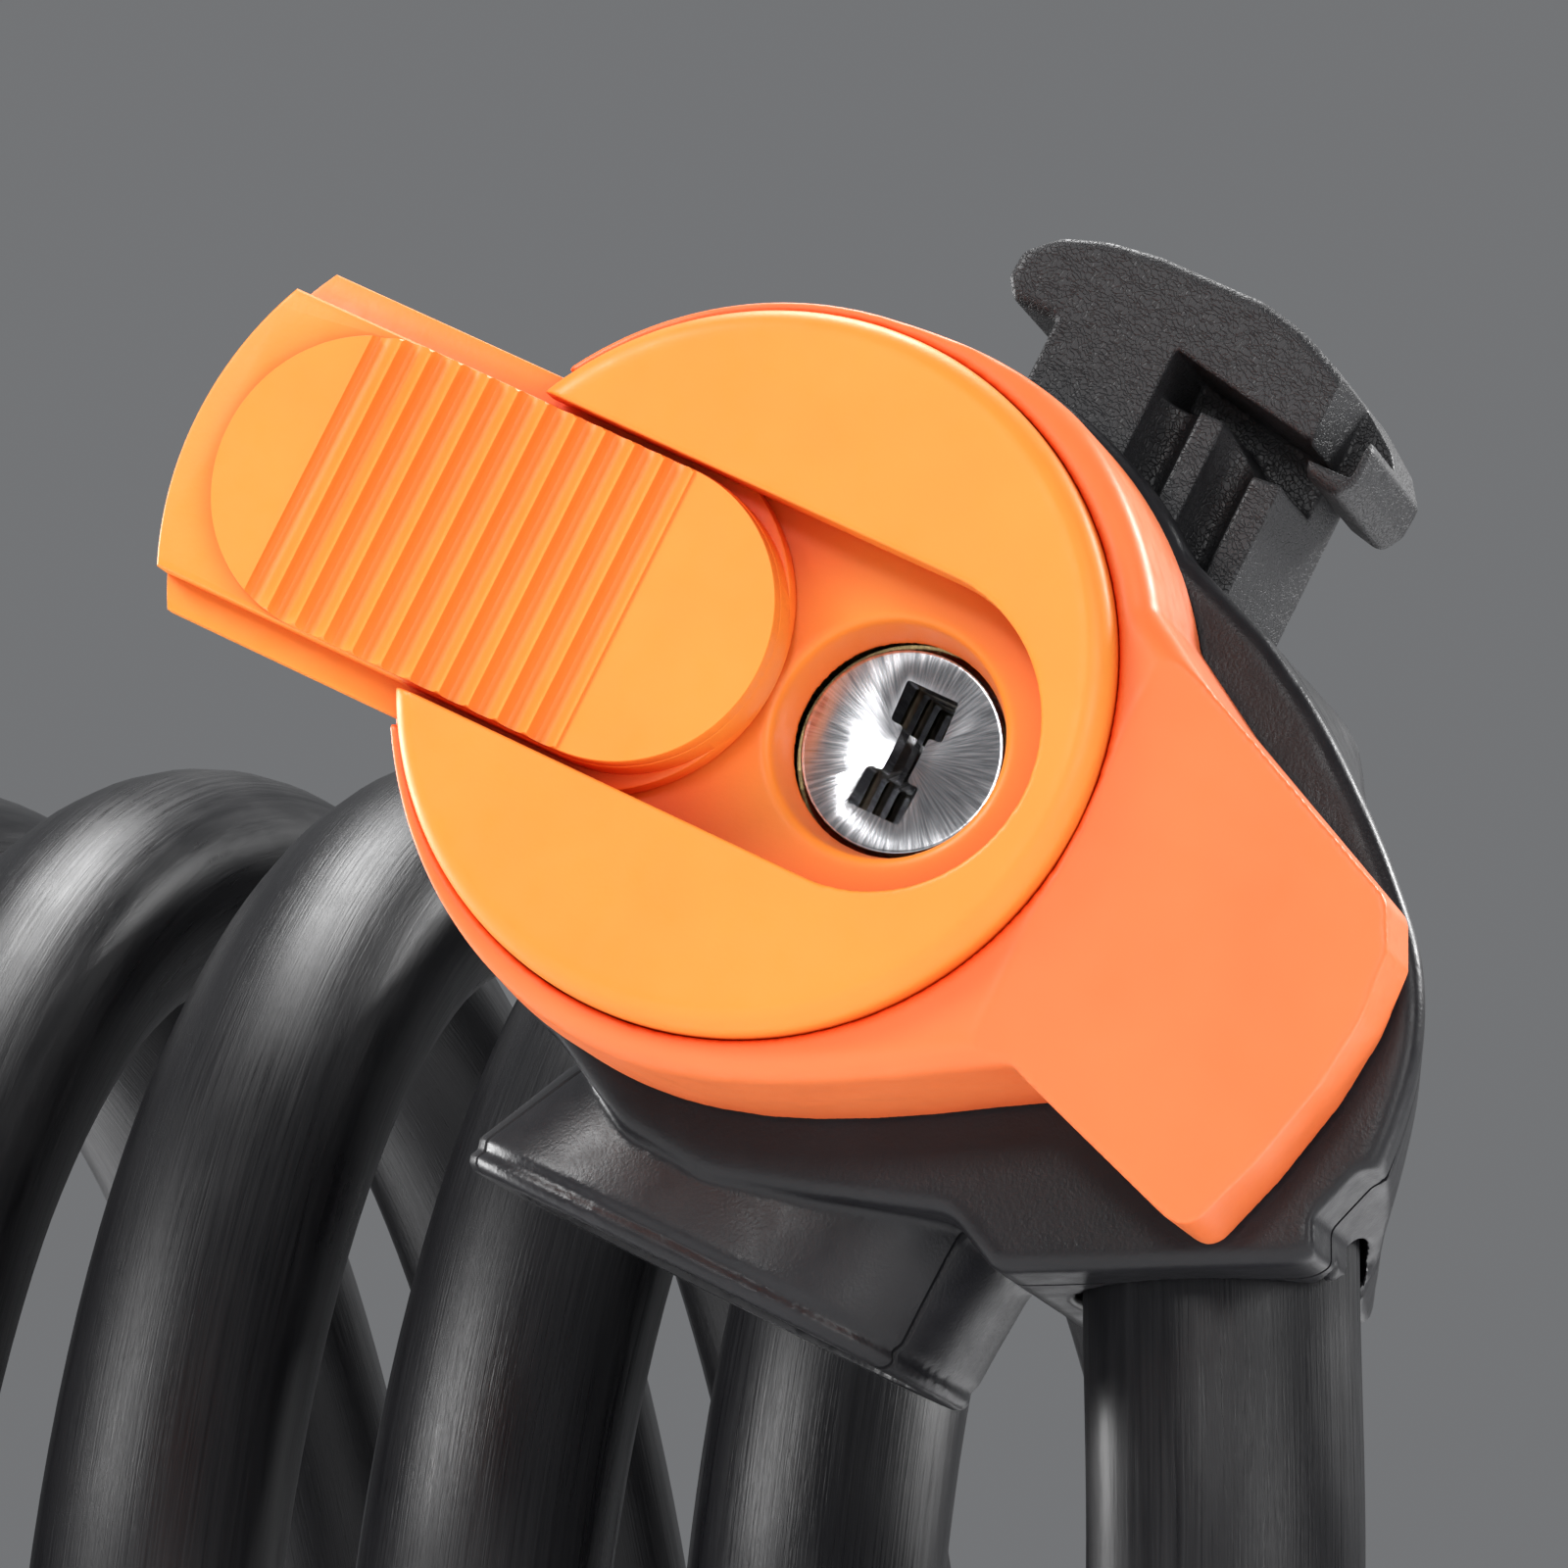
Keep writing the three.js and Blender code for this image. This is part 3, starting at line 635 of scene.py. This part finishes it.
def chin_rod(r, t0, t1):
    s, c = math.sin(TILT), math.cos(TILT)
    return turned([(0, t0), (r, t0), (r, t1), (0, t1)],
                  lambda a, h, b: (CHIN[0] - h * s + a * c, CABLE_Y + b, CHIN[1] + h * c + a * s), 72)


def oval(hx, hy, cx, cy, z0, z1, n=90):
    turns = [math.tau * i / n for i in range(n)]
    return skin([[(cx + hx * math.cos(a), cy + hy * math.sin(a), z) for a in turns] for z in (z0, z1)])


def chin_xz(t):
    return CHIN[0] - t * math.sin(TILT), CHIN[1] + t * math.cos(TILT)


def right_side(z):
    """x of the outline's right-hand side at height z"""
    edges = zip(body_outline, body_outline[1:] + body_outline[:1])
    return max(a[0] + (b[0] - a[0]) * (z - a[1]) / (b[1] - a[1])
               for a, b in edges if (a[1] - z) * (b[1] - z) < 0)


def badge_groove():
    """Oval groove round the blank badge area on the end face."""
    middle_y, middle_z, half_y, half_z, radius, steps, sides = 2.6, -6.2, 5.2, 7.2, 0.32, 96, 10
    outward, path, loops = Vector((1, 0, 0)), [], []
    for i in range(steps):
        t = math.tau * i / steps
        z = middle_z + half_z * math.sin(t)
        path.append(Vector((right_side(z), middle_y + half_y * math.cos(t), z)))
    for i, p in enumerate(path):
        ahead = (path[(i + 1) % steps] - path[i - 1]).normalized()
        out = (outward - ahead * ahead.dot(outward)).normalized()
        across = ahead.cross(out)
        turns = [math.tau * k / sides for k in range(sides)]
        loops.append([p + (out * math.cos(a) + across * math.sin(a)) * radius for a in turns])
    return skin(loops, loop=True)


ELBOW_START = 20.4          # across the row, from the disc's centre


def round_elbow(o):
    """Draws the elbow in towards the back, so that its side wraps round the cable."""
    bm = bmesh.new()
    bm.from_mesh(o.data)
    for y in range(-5, 12):
        everything = bm.verts[:] + bm.edges[:] + bm.faces[:]
        bmesh.ops.bisect_plane(bm, geom=everything, plane_co=(0, y, 0), plane_no=(0, 1, 0))
    c, s = math.cos(TILT), math.sin(TILT)
    for v in bm.verts:
        y = v.co.y - CABLE_Y
        share = 0.33 + (0.036 if y < 0 else 0.067) * y
        pull = max(0, v.co.x * c + v.co.z * s - ELBOW_START) * min(0.9, max(0.03, share))
        v.co.x -= pull * c
        v.co.z -= pull * s
    bm.to_mesh(o.data)
    bm.free()
    return o


body = cut(plate(body_outline, BODY_FRONT, BODY_BACK, 0.7, 3.0, 6), badge_groove())
body = join(round_elbow(body), skirt())
body = cut(body, rod_y(KEY_X, 0, 6.75, BODY_FRONT - 1, 6.3), rod_y(KEY_X, 0, 6.3, 6.0, 9.0),
           block(KEY_X - 8.2, KEY_X + 4.6, 8.7, 11.1, BOLT[4] - 0.4, 1.3),
           block(-5.1, BOLT[1] + GAP, BOLT[2] - 0.4, 11.1, BOLT[4] - 0.4, BOLT[5] + 0.4),
           rod_z(7, 2.4, 6.2, -25, -8.1), oval(10.0, 7.9, 4.3, 3.4, -25, -22.4),
           chin_rod(6.3, -5, 9), chin_rod(4.6, 8.5, 15.4),
           rod_y(*chin_xz(12.2), 1.8, -4.6, 11.6, 32),
           block(-0.2, 13.0, -2.6, 8.7, 10.2, 22))
SCREWS = ((-10.5, -7.5, 12), (-10.5, 7.5, 50), (18.6, 4.2, 71))
for sx, sz, _ in SCREWS:
    body = cut(body, rod_y(sx, sz, 1.5, -5, 11, 32), rod_y(sx, sz, 2.7, 10, 14, 48))
# the corner beside the cable slopes in to meet it; points are across and up in the row's own directions
tilt_c, tilt_s = math.cos(TILT), math.sin(TILT)
corner = [(21.5, -40), (32, -40), (32, -19.5), (23.4, -20.5), (21.5, -22.4)]
body = cut(body, plate([(a * tilt_c - b * tilt_s, a * tilt_s + b * tilt_c) for a, b in corner], -20, 20))
body = soften(body, 0.2, 4, 0.4)
front = boolean(copy(body), "INTERSECT", block(-40, 40, -20, PARTING - GAP / 2, -40, 40))
body = boolean(body, "INTERSECT", block(-40, 40, PARTING + GAP / 2, 40, -40, 40))
piece(front, "housing_front", BLACK, "black_plastic", "lock_body", "front_frame", angle=40)
piece(body, "housing", BLACK, "black_plastic", "lock_body", "main_housing", angle=40)

# ---- case screws, with a cross recess ------------------------------------------------------------
for i, (sx, sz, turn) in enumerate(SCREWS, 1):
    screw = turned([(0, -4.7), (1.2, -4.7), (1.2, 10.3), (2.4, 10.3), (2.4, 11.8), (2.25, 12.15),
                    (1.8, 12.4), (0, 12.4)], lambda a, h, b, x=sx, z=sz: (x + a, h, z + b), 48)
    c, s = math.cos(math.radians(turn)), math.sin(math.radians(turn))
    cross = [(1.25, 0.3), (0.45, 0.45), (0.3, 1.25), (-0.3, 1.25), (-0.45, 0.45), (-1.25, 0.3),
             (-1.25, -0.3), (-0.45, -0.45), (-0.3, -1.25), (0.3, -1.25), (0.45, -0.45), (1.25, -0.3)]
    screw = cut(screw, plate([(sx + c * x - s * z, sz + s * x + c * z) for x, z in cross], 11.4, 13))
    piece(screw, f"screw_{i}", STEEL, "steel", "lock_body", f"case_screw_{i}", angle=35)

# ---- orange shell and face -----------------------------------------------------------------------
SHELL_TOP, SHELL_BACK, DISC_R, DISC_BACK, FLOOR = -16.3, -6.5, 15.6, -11.9, -14.4
DISC_BORE, SHELL_R = 15.64, 17.2
shell_outline = filleted(arc(0, 0, SHELL_R, 34, 284, 100) + [
    (6.2, -16.1), (8.2, -15.3), (10.4, -14.25), (12.8, -12.95), (15.3, -11.45),
    (17.4, -10.25, 0.3), (26.3, -13.3, 1.2), (27.6, -9.2), (28.5, -5.2),
    (28.8, -2), (28.6, 1.0), (27.6, 3.0, 0.9), (18.2, 7.3, 3.0)])
inner = [(x * 0.87 + 0.9, z * 0.87) for x, z in shell_outline]
shell = plate(shell_outline, SHELL_TOP, 0, 1.3, 0, 5)
slope = math.radians(21)


def above_beak():
    c, s = math.cos(slope), math.sin(slope)
    o = plate([(0, -30), (30, -30), (30, 30), (0, 30)], -12, 0)
    o.data.transform(Matrix(((c, -s, 0, 15.6), (s, c, 0, SHELL_TOP), (0, 0, 1, 0), (0, 0, 0, 1))))
    return o


def draft_ring():
    """Wedge-section ring that gives the round part of the shell its draft."""
    rings = []
    for i in range(117):
        t = i / 116
        a = math.radians(58 + 232 * t)
        front = SHELL_R - 1.1 * blend(min(6 * t, 3 * (1 - t)))
        rings.append([(r * math.cos(a), y, r * math.sin(a)) for r, y in (
            (front, -18), (front, SHELL_TOP - 0.1), (SHELL_R + 0.1, -9), (24, -9), (24, -18))])
    return skin(rings)


shell = cut(shell, block(-40, 40, SHELL_BACK, 5, -40, 40), above_beak(), draft_ring(),
            rod_y(0, 0, DISC_BORE, SHELL_TOP - 1, DISC_BACK + GAP, 160), plate(inner, -9.6, 0),
            rod_y(KEY_X, 0, 6.7, -14, -8), block(-20, -8, SHELL_TOP - 1, FLOOR, -8.4, 8.4))
piece(soften(shell, 0.17, 4, 0.4), "shell", SHELL, "orange_shell", "lock_body", "face_shell")


def slot_cutter(w, end, y0, y1):
    return plate([(-30, -w), (end, -w)] + arc(end, 0, w, -88, 88, 40) + [(end, w), (-30, w)], y0, y1)


rim = [(DISC_R - 1.2 + 1.2 * math.sin(math.radians(a)), DISC_TOP + 1.2 - 1.2 * math.cos(math.radians(a)))
       for a in range(90, -1, -10)]
disc = turned([(0, DISC_BACK), (DISC_R, DISC_BACK)] + rim + [(0, DISC_TOP)], sides=192)
key_hole = turned([(0, FLOOR - 0.3), (5.5, FLOOR - 0.3), (5.4, FLOOR - 0.02), (5.2, FLOOR + 0.1),
                   (5.06, FLOOR + 0.35), (5.0, FLOOR + 0.7), (4.62, DISC_BACK), (4.62, DISC_BACK + 1),
                   (0, DISC_BACK + 1)], lambda a, b, c: (KEY_X + a, b, c))
disc = cut(disc, slot_cutter(7.0, 6.4, DISC_TOP - 1, FLOOR), slot_cutter(8.4, 6.0, FLOOR - 1.5, FLOOR),
           key_hole, block(-9.4, -1.6, FLOOR - 0.1, FLOOR + 1.1, -1.7, 1.7))
piece(soften(disc, 0.15, 4, 0.4), "face_disc", ORANGE, "orange_face", "lock_body", "channel_disc")


# ---- dust cover ----------------------------------------------------------------------------------
def cover_outline(w, end):
    a = math.degrees(math.asin(w / DISC_R))
    return arc(end - w, 0, w, -90, 90, 40) + arc(-12.2, 0, DISC_R, 180 - a, 180 + a, 40)


def thumb_pad():
    """Raised pad whose ridges are sharp crests between shallow scallops."""
    crest, depth, smooth, first, pitch, ribs = -17.9, 0.5, -17.8, -21.3, 1.45, 11
    scallop = [(0.04, 0.25), (0.1, 0.62), (0.2, 0.92), (0.32, 1.0), (0.48, 0.93), (0.64, 0.68),
               (0.78, 0.36), (0.9, 0.08), (0.95, 0), (1, 0)]
    profile = [(-26.6, -16.5), (-26.6, smooth), (first - 0.75, smooth)]
    for i in range(ribs):
        x = first + i * pitch - 0.55
        profile += [(x + t * pitch, crest + depth * d) for t, d in scallop]
    profile += [(first + ribs * pitch - 0.5, smooth), (1.6, smooth), (1.6, -16.5)]
    ridges = skin([[(x, y, z) for x, y in profile] for z in (-8, 8)])
    ends = arc(-5.98, 0, 6.6, -90, 90, 60) + arc(-19.3, 0, 6.6, 90, 270, 60)
    return boolean(ridges, "INTERSECT", plate(ends, -17.95, -16, 0.28, 0, 4))


cover = join(plate(cover_outline(8.1, 0.5), -15.6, FLOOR - GAP, 0.15, 0, 2),
             plate(cover_outline(6.7, 0.65), -17.0, -15.5, 0.2, 0, 3), thumb_pad())
piece(cover, "cover_slider", ORANGE, "orange_face", "cover", "dust_cover", angle=24)

# ---- key plug ------------------------------------------------------------------------------------
PLUG_R, PLUG_FACE, FACE_R = 4.85, -11.9, 4.45
FIRST_WAFER, WAFER_PITCH, WAFER_HALF = -9.4, 2, 0.6
plug = turned([(0, PLUG_FACE + 0.75), (1.2, PLUG_FACE + 0.6), (FACE_R - 0.2, PLUG_FACE),
               (FACE_R - 0.06, PLUG_FACE + 0.03), (FACE_R, PLUG_FACE + 0.12), (FACE_R, PLUG_FACE + 1.0),
               (PLUG_R, PLUG_FACE + 1.1), (PLUG_R, 5.6), (2.6, 5.6), (2.6, 8.6), (0, 8.6)],
              lambda a, h, b: (KEY_X + a, h, b), 128)
# half width and half height of the keyway's wide ends and of its waist
END_W, END_H, WAIST_W, WAIST_H = 1.25, 2.9, 0.62, 1.05
keyway = filleted([
    (-END_W, -END_H, 0.15), (END_W, -END_H, 0.15), (END_W, -WAIST_H, 0.2), (WAIST_W, -WAIST_H, 0.2),
    (WAIST_W, WAIST_H, 0.2), (END_W, WAIST_H, 0.2), (END_W, END_H, 0.15), (-END_W, END_H, 0.15),
    (-END_W, WAIST_H, 0.2), (-WAIST_W, WAIST_H, 0.2), (-WAIST_W, -WAIST_H, 0.2), (-END_W, -WAIST_H, 0.2)], 4)
wafers_y = [FIRST_WAFER + WAFER_PITCH * i for i in range(5)]
plug = cut(plug, plate([(KEY_X + x, z) for x, z in keyway], PLUG_FACE - 1, 1),
           *[block(KEY_X - 3.1, KEY_X + 3.1, y - WAFER_HALF, y + WAFER_HALF, -6, 6) for y in wafers_y])
piece(plug, "plug_face", CHROME, "chrome", "cylinder_plug", "key_plug", angle=30)

# ---- bracket tab ---------------------------------------------------------------------------------
crown = filleted([
    (-2.2, 21.0, 0.6), (0.5, 20.9), (5.7, 21.9), (9.3, 21.2), (12.9, 20.6), (13.2, 19.2, 0.3),
    (15.0, 18.8, 0.7), (15.6, 19.8), (15.7, 21.2, 0.6), (14.8, 22.4), (12.7, 23.9, 3), (10.4, 24.9, 3),
    (8.2, 25.4), (3.0, 25.4), (0.6, 25.1, 2), (-1.5, 24.4, 2), (-2.8, 23.2, 0.9), (-2.9, 21.9, 0.8)])
tab = join(plate(crown, -2, 9, 0.5, 0.5, 3), block(0.1, 12.7, -2, 8.4, 10.5, 22.4))
under_crown = [(5.6, 19.9), (5.6, 21.9), (9.3, 21.2), (12.9, 20.6), (13.4, 19.2), (13.4, 18.3),
               (11.3, 18.2), (9.1, 19.8)]
notch, pockets = block(13.0, 15.3, -3, 3.5, 19.8, 26.5), [
    oval(1.15, 2.0, 6.75, -2, 13, 20.5), oval(1.1, 2.0, 10.2, -2, 10, 20)]
tab = cut(tab, notch, plate(under_crown, -3, 4), *pockets)
piece(soften(tab, 0.12, 2, 0.4), "tab", LEATHER, "black_plastic", "lock_body", "bracket_tab")

# ---- CAD nodes that stay -------------------------------------------------------------------------
# the wafers take the brass darkened as painted keyway shade
KEPT = {STEEL: ["cover_detent", "plug_clip", "latch_bolt", "socket_liner", "socket_cap",
                "fixed_ferrule", "anchor_pin"],
        BRASS: ["cylinder_housing"], KEYWAY_SHADE_BRASS: [f"wafer_{i}" for i in range(1, 6)], ZINC: ["tail_cam"]}
for material, names in KEPT.items():
    for name in names:
        o = bpy.data.objects[name]
        for slot in o.material_slots:
            slot.material = material

# ---- floor and light -----------------------------------------------------------------------------
bm = bmesh.new()
floor_z = CAD_BOX[0].z - 0.0006
for x, y in ((-4, -4), (4, -4), (4, 4), (-4, 4)):
    bm.verts.new((x, y, floor_z))
bm.faces.new(bm.verts)
floor = from_bmesh(bm, "floor")
floor_mat = Mat("floor", Roughness=0.9)
floor_tones = [(0.4, (0.74, 0.74, 0.75)), (0.6, (0.78, 0.78, 0.79))]
floor_mat.colour(floor_mat.ramp(floor_mat.noise(0.02, 2), floor_tones))
floor.data.materials.append(floor_mat.m)

world = bpy.data.worlds.new("studio")
bpy.context.scene.world = world
world.use_nodes = True
world.node_tree.nodes["Background"].inputs["Color"].default_value = (0.78, 0.8, 0.83, 1)
world.node_tree.nodes["Background"].inputs["Strength"].default_value = 0.22
bpy.context.scene.view_settings.view_transform = "Standard"


def softbox(name, offset, size, power):
    """A square area light placed round the head and aimed at it."""
    data = bpy.data.lights.new(name, "AREA")
    data.shape, data.size, data.energy = "SQUARE", size, power
    o = bpy.data.objects.new(name, data)
    bpy.context.scene.collection.objects.link(o)
    o.location = aim + Vector(offset)
    o.rotation_mode = "QUATERNION"
    o.rotation_quaternion = (-Vector(offset)).to_track_quat("-Z", "Y")


softbox("key", (-0.5, -0.45, 0.55), 0.3, 6.2)
softbox("front", (0.03, -0.7, 0.16), 0.1, 0.9)
softbox("fill", (0.55, -0.45, 0.05), 0.3, 1.6)
softbox("top", (0.0, 0.25, 0.6), 0.3, 4)
softbox("rim", (0.45, 0.45, 0.3), 0.25, 4.5)
softbox("left", (-0.6, 0.25, 0.1), 0.3, 3.5)
